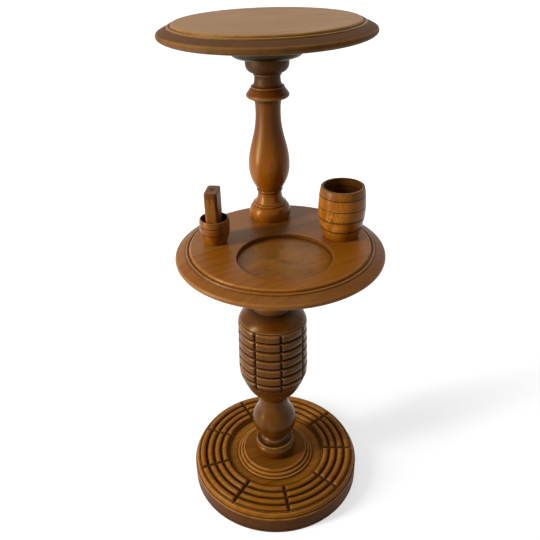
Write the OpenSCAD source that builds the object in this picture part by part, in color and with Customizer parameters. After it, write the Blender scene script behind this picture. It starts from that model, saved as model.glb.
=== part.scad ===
// Turned wooden smoker's stand: a round table top on a baluster column, an offset
// round shelf with an ashtray recess and two turned cups, and a carved barrel column
// on a carved round base. Millimetres, +Z up. The origin is on the column axis where
// the stand meets the floor, and the front is -Y.

/* [Heights] */
// Height of the table top's flat above the floor
stand_h = 700; // [680:1:740]
// Height of the shelf's flat above the floor
shelf_h = 463.5; // [455:0.5:475]
// Height of the base's middle boss above the floor
boss_h = 43; // [42:0.5:46]
// Height of the ball's centre above the boss
ball_rise = 65.5; // [64:0.5:70]
// Height of the carved barrel's lower end above the ball's centre
barrel_rise = 92; // [88:0.5:96]

/* [Boards] */
// Radius of the table top
top_r = 122.5; // [115:0.5:150]
// Thickness of the table top
top_t = 17; // [16:0.5:22]
// Radius of the shelf
shelf_r = 124.5; // [121:0.5:140]
// Thickness of the shelf
shelf_t = 17; // [16:0.5:20]
// Distance of the shelf's centre in front of the columns
shelf_forward = 75; // [73:0.5:79]
// Width of the moulding around both boards
rim_w = 19.5; // [18:0.5:21]
// Radius of the ashtray recess
recess_r = 54.8; // [48:0.2:58]
// Depth of the ashtray recess
recess_depth = 4.5; // [3:0.5:7]
// Distance of the recess in front of the shelf's centre
recess_forward = 35; // [30:0.5:38]

/* [Base] */
// Radius of the base
base_r = 132; // [128:0.5:150]
// Height of the base's plain side wall
base_side_h = 28.5; // [24:0.5:32]
// Inner radius of the carved ribs
rib_in_r = 77.5; // [75:0.5:82]
// Outer radius of the carved ribs
rib_out_r = 125; // [118:0.5:126]
// Height of the ribs' crests above the floor
rib_crest_h = 41.5; // [40:0.5:43]
// Depth of the valleys between the ribs
rib_valley = 4.2; // [3:0.2:5]
// Number of rings of ribs
rib_rings = 4; // [3:1:5]
// Height of the smooth dish inside the ribs
dish_h = 33; // [31:0.5:35]
// Radius of the boss at the dish
boss_r = 61.5; // [58:0.5:64]
// Number of cuts across the ribs
cuts = 9; // [6:1:12]
// Width of each cut across the ribs
cut_w = 7; // [5:0.5:9]
// Angle of the first cut in the base, off the front
base_cut_turn = 1; // [-20:1:20]

/* [Lower column] */
// Radius of the foot bead
lower_foot_r = 33; // [30:0.5:38]
// Radius of the ball
ball_r = 34.3; // [33:0.1:36]
// Radius of the neck between ball and foot
lower_neck_r = 18.5; // [16:0.5:20]
// Radius of the neck between ball and barrel
upper_neck_r = 22.5; // [21:0.5:25]
// Radius of the barrel at its lowest full rib
barrel_r = 50.8; // [49.5:0.1:54]
// Radius of the barrel at its top rib
barrel_top_r = 49; // [46.5:0.5:50.5]
// Height of each rib on the barrel
barrel_rib_h = 14.9; // [13:0.1:15.4]
// Depth of the grooves between the ribs
groove_depth = 2.6; // [1.5:0.1:3.5]
// Radius of the barrel where its lower end is drawn in
barrel_end_r = 48; // [45:0.5:49.5]
// Height of the barrel's rounded shoulder
shoulder_h = 17; // [14:0.5:19]
// Number of flutes down the barrel
flutes = 8; // [6:1:12]
// Angle of the first flute in the barrel, off the front
flute_turn = 5.5; // [-20:0.5:20]
// Depth of the flutes down the barrel
flute_depth = 4; // [2.5:0.5:5]
// Width of the flutes down the barrel
flute_w = 4.5; // [3.5:0.5:7]
// Radius of the ringed collar over the barrel
collar_r = 31; // [29:0.5:36]
// Radius of the cap under the shelf
lower_cap_r = 33; // [30:0.5:40]

/* [Upper column] */
// Radius of the foot bead on the shelf
upper_foot_r = 26; // [24:0.5:27]
// Greatest radius of the vase
vase_r = 25.4; // [22:0.2:28]
// Radius of the column's slender necks
slender_r = 15; // [14:0.5:16.5]
// Radius of the sharp collar over the vase
sharp_collar_r = 25.7; // [23:0.1:28]
// Radius of the bowl-shaped cap
upper_cap_r = 25.5; // [23:0.5:28]
// Radius of the flange under the table top
flange_r = 43; // [41:0.5:55]
// Thickness of the flange
flange_t = 21.5; // [18:0.5:28]
// Rounding of the flange's lower edge
flange_round = 8; // [5:0.5:10]

/* [Cups] */
// Radius of the cigarette barrel at its middle
barrel_cup_r = 28; // [26:0.5:30]
// Height of the cigarette barrel
barrel_cup_h = 63; // [58:0.5:80]
// Radius of the cigarette barrel's bore
barrel_cup_bore_r = 21.5; // [19:0.5:22]
// Thickness of the cigarette barrel's floor
barrel_cup_floor = 8; // [7:0.5:12]
// Distance of the cigarette barrel to the right of the shelf's centre
barrel_cup_x = 75.8; // [75:0.2:78]
// Distance of the cigarette barrel behind the shelf's centre
barrel_cup_y = 6; // [2:0.5:12]
// Greatest radius of the match cup
match_cup_r = 18; // [17.5:0.1:20]
// Height of the match cup
match_cup_h = 31; // [28:0.5:36]
// Radius of the match cup's bore
match_cup_bore_r = 15.6; // [15:0.1:15.8]
// Thickness of the match cup's floor
match_cup_floor = 14; // [12.5:0.5:15]
// Distance of the match cup to the left of the shelf's centre
match_cup_x = 75; // [74:0.2:77]
// Distance of the match cup behind the shelf's centre
match_cup_y = 16; // [8:0.5:18]
// Width of the matchbox post
post_w = 15.5; // [12:0.5:16]
// Height of the matchbox post above the shelf
post_h = 66.5; // [56:0.5:72]
// Turn of the matchbox post
post_turn = -15; // [-20:1:20]

/* [Joinery] */
// Radius of the dowel through the shelf
dowel_r = 10; // [8:0.5:12]
// Length of dowel in each column
dowel_hold = 28; // [20:1:32]
// Radius of the turned tenons
tenon_r = 12; // [10:0.5:13]
// Length of the turned tenons
tenon_l = 14; // [10:0.5:16]
// Clearance of tenons and dowels in their sockets
glue_gap = 0.15; // [0.1:0.05:0.3]
// Radius of the coach screw's shank
coach_r = 4; // [3:0.5:5]
// Length of the coach screw
coach_l = 75; // [60:1:85]
// Radius of the small wood screws' shanks
screw_r = 2; // [1.5:0.25:2.5]
// Clearance of screws in their holes
screw_gap = 0.1; // [0.05:0.05:0.3]

/* [Hidden] */
round_fn = 96;

// Colours of the stained wood and the steel
amber_wood = [0.50, 0.27, 0.10];
dark_wood = [0.38, 0.19, 0.08];
bright_steel = [0.62, 0.62, 0.60];

// Pocket for the coach screw in the base's underside
washer_r = 2.8 * coach_r;
washer_t = 2;
coach_head_r = 1.65 * coach_r;
coach_head_h = 5;
pocket_r = washer_r + 1;
pocket_h = coach_head_h + washer_t + 4;
coach_z = pocket_h - washer_t - coach_head_h;
tenon_floor_z = boss_h - tenon_l - 1;

// Levels of the lower column
ball_z = boss_h + ball_rise;
barrel_z = ball_z + barrel_rise;
barrel_ribs = 7;
barrel_top_z = barrel_z + barrel_ribs * barrel_rib_h;
shoulder_z = barrel_top_z + shoulder_h;
shelf_under_z = shelf_h - shelf_t;

// Levels of the upper column
top_under_z = stand_h - top_t;
flange_under_z = top_under_z - flange_t;

// Places on the shelf
shelf_at = [0, -shelf_forward];
recess_at = [0, -shelf_forward - recess_forward];
barrel_cup_at = shelf_at + [barrel_cup_x, barrel_cup_y];
match_cup_at = shelf_at + [-match_cup_x, match_cup_y];

// Wood screws: how far they reach into the second piece, and their pockets
screw_head_r = 2 * screw_r;
screw_bite = 10;
screw_sink = 0.5;
flange_screw_pcr = flange_r - flange_round - screw_head_r;
flange_screw_z = flange_under_z + screw_sink;

// The matchbox post fills the bore of its cup from front to back
post_round = 3.5;
cup_floor_r = match_cup_bore_r - 0.7;
post_gap = 0.25;
post_reach = cup_floor_r - post_gap - post_round;
post_d = 2 * (post_round + sqrt(pow(post_reach, 2) - pow(post_w / 2 - post_round, 2)));

// Points of a cubic curve from p to s, drawn by the handles q and r
function curve(p, q, r, s, n = 12) = [
    for (i = [0 : n])
        let (t = i / n, u = 1 - t)
            u * u * u * p + 3 * u * u * t * q + 3 * u * t * t * r + t * t * t * s
];

// A swelling or a hollow from [r0, z0] to [r1, z1] that passes mid_r half way
function turned(r0, z0, r1, z1, mid_r, n = 12) =
    let (handle = (8 * mid_r - r0 - r1) / 6, lift = (z1 - z0) * 0.12)
        curve([r0, z0], [handle, z0 + lift], [handle, z1 - lift], [r1, z1], n);

// An S-shaped sweep that leaves r0 and reaches r1 upright
function flow(r0, z0, r1, z1, n = 14) =
    let (l0 = (z1 - z0) * 0.38, l1 = (z1 - z0) * 0.46)
        curve([r0, z0], [r0, z0 + l0], [r1, z1 - l1], [r1, z1], n);

// A thin square-edged ring
function ring(r, z0, z1) = [[r, z0], [r, z1]];

// Spins a profile of [radius, height] points
module spin(points) {
    rotate_extrude($fn = round_fn)
        polygon(points);
}

// A round hole or peg that starts at z and goes up
module peg(r, z, h) {
    translate([0, 0, z])
        cylinder(r = r, h = h, $fn = 48);
}

// A slotted countersunk wood screw that points up from the underside of its head
module wood_screw(length) {
    head_h = screw_head_r - screw_r;
    tip_h = 2 * screw_r;
    difference() {
        union() {
            cylinder(r1 = screw_head_r, r2 = screw_r, h = head_h, $fn = 32);
            cylinder(r = screw_r, h = length - tip_h, $fn = 32);
            translate([0, 0, length - tip_h])
                cylinder(r1 = screw_r, r2 = 0.3, h = tip_h, $fn = 32);
        }
        translate([0, 0, 0.25 * head_h])
            cube([2 * screw_head_r + 1, 0.4 * screw_r, 0.5 * head_h + 0.02], center = true);
    }
}

// The hole for such a screw, with its countersink and a free way in below it
module screw_hole(length, way_in) {
    head_h = screw_head_r - screw_r;
    translate([0, 0, -way_in])
        cylinder(r = screw_head_r + screw_gap, h = way_in, $fn = 32);
    cylinder(r1 = screw_head_r + screw_gap, r2 = screw_r + screw_gap, h = head_h, $fn = 32);
    cylinder(r = screw_r + screw_gap, h = length + 1, $fn = 32);
}

// Outline of a moulded board whose flat lies at height z: undercut, rounded nose, long
// slope, bead between two quirks, and a small ovolo up to the flat
function board_outline(r, z, t) =
    let (flat_r = r - rim_w, bead_r = flat_r + 5.6)
        concat(
            [[0, z - t], [r - 7, z - t]],
            curve([r - 7, z - t], [r - 3.4, z - 15.8], [r, z - 14.4], [r, z - 11.6], 6),
            curve([r, z - 11.6], [r, z - 9.8], [r - 1, z - 8.8], [r - 2.6, z - 8], 5),
            curve([r - 2.6, z - 8], [r - 5, z - 6.9], [r - 8.4, z - 5], [bead_r + 2.2, z - 4], 6),
            [[bead_r + 1.6, z - 4.1]],
            curve([bead_r + 1.2, z - 3.3], [bead_r + 1.2, z - 2.1], [bead_r - 1.2, z - 1.9],
                [bead_r - 1.2, z - 2.9], 5),
            [[bead_r - 2, z - 3.4], [flat_r + 2.6, z - 3.2]],
            curve([flat_r + 2.5, z - 2.6], [flat_r + 2.5, z - 1.1], [flat_r + 1.4, z], [flat_r, z], 5),
            [[0, z]]
        );

// Outline of one carved rib of the base between two radii
function base_rib(r0, r1) =
    let (mid = (r0 + r1) / 2, half = (r1 - r0) / 2, valley_z = rib_crest_h - rib_valley)
        [for (i = [0 : 7]) let (a = 180 - i * 180 / 8) [
            mid + half * cos(a), valley_z + rib_valley * pow(sin(a), 0.7)
        ]];

// Carved base: boss, smooth dish, rings of ribs and a moulded lip over a plain wall
module base_disc() {
    rib_w = (rib_out_r - rib_in_r) / rib_rings;
    valley_z = rib_crest_h - rib_valley;
    outline = concat(
        [
            [0, 0], [base_r - 1, 0], [base_r, 1], [base_r, base_side_h]
        ],
        curve([base_r, base_side_h], [base_r, base_side_h + 0.8], [base_r - 0.8, base_side_h + 1.2],
            [base_r - 1.8, base_side_h + 1.2], 4),
        curve([base_r - 2, base_side_h + 1.8], [base_r - 2.4, base_side_h + 6],
            [rib_out_r + 3.5, valley_z + 0.6], [rib_out_r + 0.8, valley_z], 8),
        [for (k = [rib_rings - 1 : -1 : 0])
            let (rib = base_rib(rib_in_r + k * rib_w, rib_in_r + (k + 1) * rib_w))
                for (i = [7 : -1 : 0]) rib[i]],
        [[rib_in_r - 0.8, dish_h + 1.2]],
        curve([rib_in_r - 0.8, dish_h + 1.2], [rib_in_r - 1.6, dish_h], [rib_in_r - 3, dish_h],
            [rib_in_r - 4.5, dish_h], 4),
        curve([boss_r, dish_h], [boss_r, dish_h + 2.8], [boss_r - 2, dish_h + 3.4],
            [boss_r - 4, dish_h + 2], 6),
        curve([boss_r - 4.4, dish_h + 3.4], [boss_r - 4.8, dish_h + 6.6], [boss_r - 7.4, dish_h + 7],
            [boss_r - 8.8, dish_h + 5.4], 6),
        curve([boss_r - 9.2, boss_h - 2.4], [boss_r - 9.6, boss_h + 0.6], [boss_r - 12, boss_h + 0.8],
            [boss_r - 13.2, boss_h], 6),
        [[0, boss_h]]
    );
    color(amber_wood)
        difference() {
            spin(outline);
            peg(tenon_r + glue_gap, tenon_floor_z, tenon_l + 2);
            peg(coach_r + screw_gap, pocket_h - 1, boss_h);
            peg(pocket_r, -1, pocket_h + 1);
            for (k = [0 : cuts - 1])
                rotate([0, 0, k * 360 / cuts + base_cut_turn])
                    base_cut();
        }
}

// One V-shaped cut straight across all the ribs, towards the front
module base_cut() {
    depth = rib_valley + 0.3;
    rise = 1;
    half = cut_w / 2 * (depth + rise) / depth;
    translate([0, -rib_in_r + 3, rib_crest_h])
        rotate([90, 0, 0])
            linear_extrude(rib_out_r - rib_in_r + 4)
                polygon([[0, -depth], [half, rise], [-half, rise]]);
}

// Coach screw that draws the lower column down on the base
module coach_screw() {
    tip_h = 2 * coach_r;
    color(bright_steel) {
        translate([0, 0, coach_z])
            cylinder(r = coach_head_r, h = coach_head_h, $fn = 6);
        translate([0, 0, coach_z + coach_head_h])
            cylinder(r = coach_r, h = coach_l - tip_h, $fn = 48);
        translate([0, 0, coach_z + coach_head_h + coach_l - tip_h])
            cylinder(r1 = coach_r, r2 = 0.5, h = tip_h, $fn = 48);
    }
}

// Washer between the coach screw's head and the base
module coach_washer() {
    color(bright_steel)
        difference() {
            peg(washer_r, coach_z + coach_head_h, washer_t);
            peg(coach_r + screw_gap, coach_z, coach_head_h + 2 * washer_t);
        }
}

// Radius of the barrel at a height: it draws in a little towards its top
function barrel_radius(z) = barrel_r
    - (barrel_r - barrel_top_r) * (z - barrel_z - barrel_rib_h) / (barrel_ribs - 1) / barrel_rib_h;

// Outline of one rounded rib on the barrel, from z up, between two radii
function barrel_rib(z, r0, r1) =
    let (h = barrel_rib_h, d = groove_depth, s = 1.3)
        [[r0 - d, z], [r0 - 0.5, z + s], [r0, z + 2.2 * s],
            [(r0 + r1) / 2 + 0.5, z + h / 2],
            [r1, z + h - 2.2 * s], [r1 - 0.5, z + h - s], [r1 - d, z + h]];

// Lower column: foot, fillets, ball, carved barrel and a ringed neck up to the shelf
module lower_column() {
    foot_top_z = boss_h + 21;
    step_z = foot_top_z + 5;
    ball_low_z = ball_z - sqrt(ball_r * ball_r - lower_neck_r * lower_neck_r);
    low_angle = -acos(lower_neck_r / ball_r);
    neck_z = (ball_z + barrel_z) / 2 - 8;
    collar_z = shoulder_z + 3;
    cap_z = shelf_under_z - 19;
    vase_z = (collar_z + 22 + cap_z) / 2 - 6;
    outline = concat(
        [
            [0, boss_h - tenon_l], [tenon_r, boss_h - tenon_l], [tenon_r, boss_h],
            [lower_foot_r - 4, boss_h]
        ],
        turned(lower_foot_r - 4, boss_h, lower_foot_r - 5, foot_top_z - 1, lower_foot_r),
        [[lower_foot_r - 4.4, foot_top_z]],
        ring(lower_foot_r - 3.5, foot_top_z + 1, foot_top_z + 4),
        [[lower_foot_r - 6.5, foot_top_z + 3.2], [lower_neck_r + 4.6, foot_top_z + 4.2]],
        turned(lower_neck_r + 4, step_z, lower_neck_r + 1.4, step_z + 6, lower_neck_r + 3.6, 6),
        turned(lower_neck_r + 1.4, step_z + 6, lower_neck_r, ball_low_z, lower_neck_r + 0.2, 6),
        [for (i = [1 : 14]) let (a = low_angle * (1 - i / 15)) [ball_r * cos(a), ball_z + ball_r * sin(a)]],
        curve([ball_r, ball_z], [ball_r, ball_z + 17], [upper_neck_r + 1, neck_z - 15],
            [upper_neck_r, neck_z], 16),
        curve([upper_neck_r, neck_z], [upper_neck_r, neck_z + 8], [upper_neck_r + 7, neck_z + 5],
            [upper_neck_r + 7.5, neck_z + 18], 10),
        curve([upper_neck_r + 8.5, barrel_z - 30], [barrel_end_r - 11, barrel_z - 26],
            [barrel_end_r - 5, barrel_z - 12], [barrel_end_r - 1, barrel_z - 0.6], 10),
        barrel_rib(barrel_z, barrel_end_r, barrel_r),
        [for (k = [1 : barrel_ribs - 1])
            let (z = barrel_z + k * barrel_rib_h)
                for (p = barrel_rib(z, barrel_radius(z), barrel_radius(z + barrel_rib_h))) p],
        curve([barrel_top_r - 1.6, barrel_top_z + 0.8], [barrel_top_r - 2.5, barrel_top_z + 5],
            [collar_r + 5, shoulder_z - 4], [collar_r - 3, shoulder_z], 12),
        ring(collar_r - 3.5, shoulder_z + 0.4, collar_z - 0.6),
        turned(collar_r - 2, collar_z, collar_r - 3, collar_z + 10, collar_r, 8),
        ring(collar_r - 5, collar_z + 10.6, collar_z + 13),
        turned(collar_r - 7, collar_z + 13.5, slender_r + 7, collar_z + 26, slender_r + 4, 8),
        ring(slender_r + 8.5, collar_z + 26.6, collar_z + 28.6),
        flow(slender_r + 7, collar_z + 29, vase_r + 3, vase_z + 6, 10),
        flow(vase_r + 3, vase_z + 8, slender_r + 2.5, cap_z, 12),
        ring(slender_r + 5, cap_z + 0.6, cap_z + 3),
        turned(slender_r + 4, cap_z + 3.4, lower_cap_r - 2, shelf_under_z - 5, slender_r + 8, 8),
        ring(lower_cap_r, shelf_under_z - 4.4, shelf_under_z),
        [[0, shelf_under_z]]
    );
    color(amber_wood)
        difference() {
            spin(outline);
            peg(dowel_r + glue_gap, shelf_under_z - dowel_hold - 1, dowel_hold + 3);
            peg(coach_r + screw_gap, 0, coach_z + coach_head_h + coach_l + 1);
            for (k = [0 : flutes - 1])
                rotate([0, 0, k * 360 / flutes + flute_turn])
                    barrel_flute();
        }
}

// One V-shaped flute down the front of the barrel, which follows its taper and then
// leans in over its lowest rib
module barrel_flute() {
    knee_z = barrel_z + barrel_rib_h;
    taper = atan((barrel_r - barrel_top_r) / (barrel_top_z - knee_z));
    lean = atan((barrel_r - barrel_end_r) / barrel_rib_h);
    translate([0, -barrel_r, knee_z]) {
        rotate([-taper, 0, 0])
            translate([0, 0, -1.5])
                linear_extrude(barrel_top_z - knee_z + 1.5)
                    flute_section();
        rotate([lean, 0, 0])
            translate([0, 0, -barrel_rib_h / cos(lean) - 0.5])
                linear_extrude(barrel_rib_h / cos(lean) + 0.5)
                    flute_section();
    }
}

// The V of a flute, open towards the front
module flute_section() {
    rise = 2;
    half = flute_w / 2 * (flute_depth + rise) / flute_depth;
    polygon([[0, flute_depth], [half, -rise], [-half, -rise]]);
}

// Moulded shelf with the ashtray recess, dowel hole and countersunk screw holes
module shelf() {
    edge = 0.6;
    color(amber_wood)
        difference() {
            translate(shelf_at)
                spin(board_outline(shelf_r, shelf_h, shelf_t));
            translate(recess_at) {
                peg(recess_r, shelf_h - recess_depth, recess_depth + 1);
                translate([0, 0, shelf_h - edge])
                    cylinder(r1 = recess_r, r2 = recess_r + 2 * edge, h = 2 * edge, $fn = round_fn);
            }
            peg(dowel_r + glue_gap, shelf_under_z - 1, shelf_t + 2);
            for (at = [barrel_cup_at, match_cup_at])
                translate([at[0], at[1], shelf_under_z + screw_sink])
                    screw_hole(shelf_t + 1, screw_sink + 1);
        }
}

// Hardwood dowel that joins both columns through the shelf
module shelf_dowel() {
    ease = 1.5;
    bottom_z = shelf_under_z - dowel_hold;
    top_z = shelf_h + dowel_hold;
    color(dark_wood)
        spin([
            [0, bottom_z], [dowel_r - ease, bottom_z], [dowel_r, bottom_z + ease],
            [dowel_r, top_z - ease], [dowel_r - ease, top_z], [0, top_z]
        ]);
}

// Upper column: foot bead, cove, vase, sharp collar and bowl-shaped cap, with a tenon
module upper_column() {
    foot_top_z = shelf_h + 18.6;
    vase_low_z = foot_top_z + 21.4;
    vase_wide_z = vase_low_z + 29.5;
    collar_z = flange_under_z - 47;
    outline = concat(
        [[0, shelf_h], [upper_foot_r - 3, shelf_h]],
        turned(upper_foot_r - 3, shelf_h, upper_foot_r - 5.6, foot_top_z, upper_foot_r + 0.2, 14),
        ring(upper_foot_r - 5, foot_top_z + 0.3, foot_top_z + 2),
        curve([upper_foot_r - 6.2, foot_top_z + 2.4], [slender_r + 1.6, foot_top_z + 5],
            [slender_r, foot_top_z + 11], [slender_r, foot_top_z + 17.6], 10),
        turned(slender_r + 0.6, foot_top_z + 18, slender_r + 0.6, foot_top_z + 20.8, slender_r + 1.7, 4),
        curve([slender_r + 1.2, vase_low_z], [slender_r + 4.4, vase_low_z + 6],
            [vase_r, vase_wide_z - 15], [vase_r, vase_wide_z], 14),
        flow(vase_r, vase_wide_z, slender_r, collar_z - 15, 18),
        curve([slender_r, collar_z - 15], [slender_r, collar_z - 8], [slender_r + 0.4, collar_z - 3],
            [slender_r + 1.8, collar_z - 0.4], 6),
        curve([slender_r + 2.2, collar_z], [sharp_collar_r - 2, collar_z + 0.4],
            [sharp_collar_r + 1.4, collar_z + 2.6], [sharp_collar_r - 0.9, collar_z + 6], 8),
        [[slender_r + 5.2, collar_z + 12.2]],
        ring(slender_r + 4.8, collar_z + 12.6, collar_z + 14.2),
        turned(slender_r + 3.4, collar_z + 14.6, slender_r + 0.6, collar_z + 26.6, slender_r + 0.4, 10),
        ring(slender_r + 1.5, collar_z + 27, collar_z + 28.6),
        curve([slender_r + 1.3, collar_z + 28.9], [slender_r + 7, collar_z + 30.6],
            [upper_cap_r, collar_z + 33], [upper_cap_r, collar_z + 41], 10),
        [[upper_cap_r - 0.6, flange_under_z], [tenon_r, flange_under_z]],
        [[tenon_r, flange_under_z + tenon_l - 1], [tenon_r - 1, flange_under_z + tenon_l]],
        [[0, flange_under_z + tenon_l]]
    );
    color(amber_wood)
        difference() {
            spin(outline);
            peg(dowel_r + glue_gap, shelf_h - 1, dowel_hold + 2);
        }
}

// Bowl-edged flange, glued on the column's tenon and screwed up into the table top
module top_flange() {
    color(dark_wood)
        difference() {
            spin(concat(
                [[0, flange_under_z]],
                [for (i = [0 : 10]) let (a = -90 + i * 90 / 10) [
                    flange_r - flange_round + flange_round * cos(a),
                    flange_under_z + flange_round + flange_round * sin(a)
                ]],
                [[flange_r, top_under_z - 1], [flange_r - 1, top_under_z], [0, top_under_z]]
            ));
            peg(tenon_r + glue_gap, flange_under_z - 1, tenon_l + 2);
            flange_screw_places()
                screw_hole(top_under_z - flange_screw_z, flange_t);
        }
}

// Puts a copy of what follows at each of the flange's four screws
module flange_screw_places() {
    for (k = [0 : 3])
        rotate([0, 0, 45 + 90 * k])
            translate([flange_screw_pcr, 0, flange_screw_z])
                children();
}

// Screws that hold the flange to the table top
module flange_screws() {
    color(bright_steel)
        flange_screw_places()
            wood_screw(top_under_z - flange_screw_z + screw_bite);
}

// Moulded table top with blind holes for the flange's screws
module table_top() {
    color(amber_wood)
        difference() {
            spin(board_outline(top_r, stand_h, top_t));
            flange_screw_places()
                cylinder(r = screw_r + screw_gap, h = top_under_z - flange_screw_z + screw_bite + 1, $fn = 32);
        }
}

// Cigarette barrel: a bulging turned cup with four scored hoops lines
module cigarette_barrel() {
    rim_r = barrel_cup_r - 2.4;
    foot_r = barrel_cup_r - 7.4;
    mid_r = barrel_cup_r;
    score = 0.9;
    // Radius of the bulging wall at a share of its height
    function wall_r(s) = mid_r - (s < 0.6 ? (mid_r - foot_r) * pow((0.6 - s) / 0.6, 2)
        : (mid_r - rim_r) * pow((s - 0.6) / 0.4, 2));
    scores = [0.205, 0.42, 0.635, 0.85];
    z0 = shelf_h;
    stops = [0.01, 0.07, 0.13, 0.28, 0.35, 0.49, 0.56, 0.7, 0.78, 0.93];
    wall = concat(
        [for (i = [0 : 2]) [wall_r(stops[i]), z0 + stops[i] * barrel_cup_h]],
        cup_score(scores[0]), [for (i = [3 : 4]) [wall_r(stops[i]), z0 + stops[i] * barrel_cup_h]],
        cup_score(scores[1]), [for (i = [5 : 6]) [wall_r(stops[i]), z0 + stops[i] * barrel_cup_h]],
        cup_score(scores[2]), [for (i = [7 : 8]) [wall_r(stops[i]), z0 + stops[i] * barrel_cup_h]],
        cup_score(scores[3]), [[wall_r(stops[9]), z0 + stops[9] * barrel_cup_h]]
    );
    function cup_score(s) = [
        [wall_r(s), z0 + s * barrel_cup_h - score / 2],
        [wall_r(s) - score, z0 + s * barrel_cup_h],
        [wall_r(s), z0 + s * barrel_cup_h + score / 2]
    ];
    top_z = z0 + barrel_cup_h;
    color(amber_wood)
        translate(barrel_cup_at)
            difference() {
                spin(concat(
                    [[0, z0], [foot_r - 1, z0]],
                    wall,
                    curve([rim_r, top_z - 1.6], [rim_r, top_z], [rim_r - 0.6, top_z], [rim_r - 1.8, top_z], 4),
                    [[0, top_z]]
                ));
                peg(barrel_cup_bore_r, z0 + barrel_cup_floor, barrel_cup_h);
                translate([0, 0, shelf_under_z + screw_sink])
                    cylinder(r = screw_r + screw_gap, h = shelf_t + barrel_cup_floor - 1.5, $fn = 32);
            }
}

// Screw up through the shelf into the cigarette barrel's floor
module barrel_screw() {
    color(bright_steel)
        translate([barrel_cup_at[0], barrel_cup_at[1], shelf_under_z + screw_sink])
            wood_screw(shelf_t - screw_sink + barrel_cup_floor - 2.5);
}

// Match cup: a small bellied cup with two scored lines, bored to take the post
module match_cup() {
    foot_r = match_cup_r - 4.8;
    z0 = shelf_h;
    top_z = z0 + match_cup_h;
    rim_r = match_cup_bore_r + 1.6;
    color(amber_wood)
        translate(match_cup_at)
            difference() {
                spin(concat(
                    [[0, z0], [foot_r - 0.6, z0]],
                    curve([foot_r, z0 + 0.6], [foot_r + 3.4, z0 + 6], [match_cup_r, z0 + match_cup_h * 0.42],
                        [match_cup_r, z0 + match_cup_h * 0.7], 10),
                    curve([match_cup_r, z0 + match_cup_h * 0.7], [match_cup_r, top_z - 3],
                        [rim_r, top_z - 1.2], [rim_r, top_z - 0.5], 5),
                    [[rim_r - 0.5, top_z], [0, top_z]]
                ));
                translate([0, 0, z0 + match_cup_floor])
                    cylinder(r1 = cup_floor_r, r2 = match_cup_bore_r,
                        h = match_cup_h - match_cup_floor + 0.01, $fn = 64);
                for (s = [0.46, 0.74])
                    translate([0, 0, z0 + s * match_cup_h])
                        cup_line();
                translate([0, 0, shelf_under_z + screw_sink])
                    cylinder(r = screw_r + screw_gap, h = 2 * shelf_t + match_cup_h, $fn = 32);
            }
}

// A scored line round the match cup
module cup_line() {
    score = 0.5;
    rotate_extrude($fn = round_fn)
        polygon([[match_cup_r - 1.4, 0], [match_cup_r + 1, -score - 0.6], [match_cup_r + 1, score + 0.6]]);
}

// Upright post, rounded at its corners, that a matchbox sleeve slides over
module matchbox_post() {
    top_z = shelf_h + post_h;
    seat_z = shelf_h + match_cup_floor;
    color(amber_wood)
        translate(match_cup_at)
            rotate([0, 0, post_turn])
                difference() {
                    translate([0, 0, seat_z])
                        linear_extrude(top_z - seat_z)
                            rounded_block(post_w, post_d, post_round);
                    peg(screw_r + screw_gap, seat_z - 1, screw_bite + 6);
                    peg(0.9, top_z - 4, 5);
                }
}

// A rectangle with round corners, centred
module rounded_block(w, d, r) {
    square([w - 2 * r, d], center = true);
    square([w, d - 2 * r], center = true);
    for (x = [-1, 1])
        for (y = [-1, 1])
            translate([x * (w / 2 - r), y * (d / 2 - r)])
                circle(r = r, $fn = 32);
}

// Long screw up through the shelf and the match cup into the post
module match_screw() {
    color(bright_steel)
        translate([match_cup_at[0], match_cup_at[1], shelf_under_z + screw_sink])
            wood_screw(shelf_t - screw_sink + match_cup_floor + screw_bite);
}

base_disc();
coach_screw();
coach_washer();
lower_column();
shelf();
shelf_dowel();
upper_column();
top_flange();
flange_screws();
table_top();
cigarette_barrel();
barrel_screw();
match_cup();
matchbox_post();
match_screw();
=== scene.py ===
import bisect
import math

import bmesh
import bpy
from mathutils import Matrix, Vector


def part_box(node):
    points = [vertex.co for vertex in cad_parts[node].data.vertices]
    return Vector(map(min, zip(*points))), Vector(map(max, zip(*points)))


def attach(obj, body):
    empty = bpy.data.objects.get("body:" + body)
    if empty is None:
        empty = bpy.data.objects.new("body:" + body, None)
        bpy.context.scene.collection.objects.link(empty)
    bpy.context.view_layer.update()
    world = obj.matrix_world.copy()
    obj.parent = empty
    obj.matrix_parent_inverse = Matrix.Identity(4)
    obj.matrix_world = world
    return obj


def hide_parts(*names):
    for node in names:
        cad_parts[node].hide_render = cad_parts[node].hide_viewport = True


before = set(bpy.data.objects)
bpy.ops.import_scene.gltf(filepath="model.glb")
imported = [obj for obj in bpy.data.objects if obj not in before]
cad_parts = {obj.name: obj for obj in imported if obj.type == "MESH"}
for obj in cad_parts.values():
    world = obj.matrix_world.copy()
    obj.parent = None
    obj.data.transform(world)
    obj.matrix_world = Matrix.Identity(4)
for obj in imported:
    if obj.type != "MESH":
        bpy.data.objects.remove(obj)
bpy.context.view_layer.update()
scene = bpy.context.scene


# ---------------------------------------------------------------- camera
# The viewer stands about 0.7 m in front of the stand, a little to its left, and
# looks down on it from 0.79 m above the floor with a normal lens.

eye_distance = 0.69761
eye_height = 0.79244
eye_azimuth = math.radians(-8)
heading = math.radians(-6.3264)
tilt = math.radians(59.4074)
roll = math.radians(-2.027)

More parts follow.
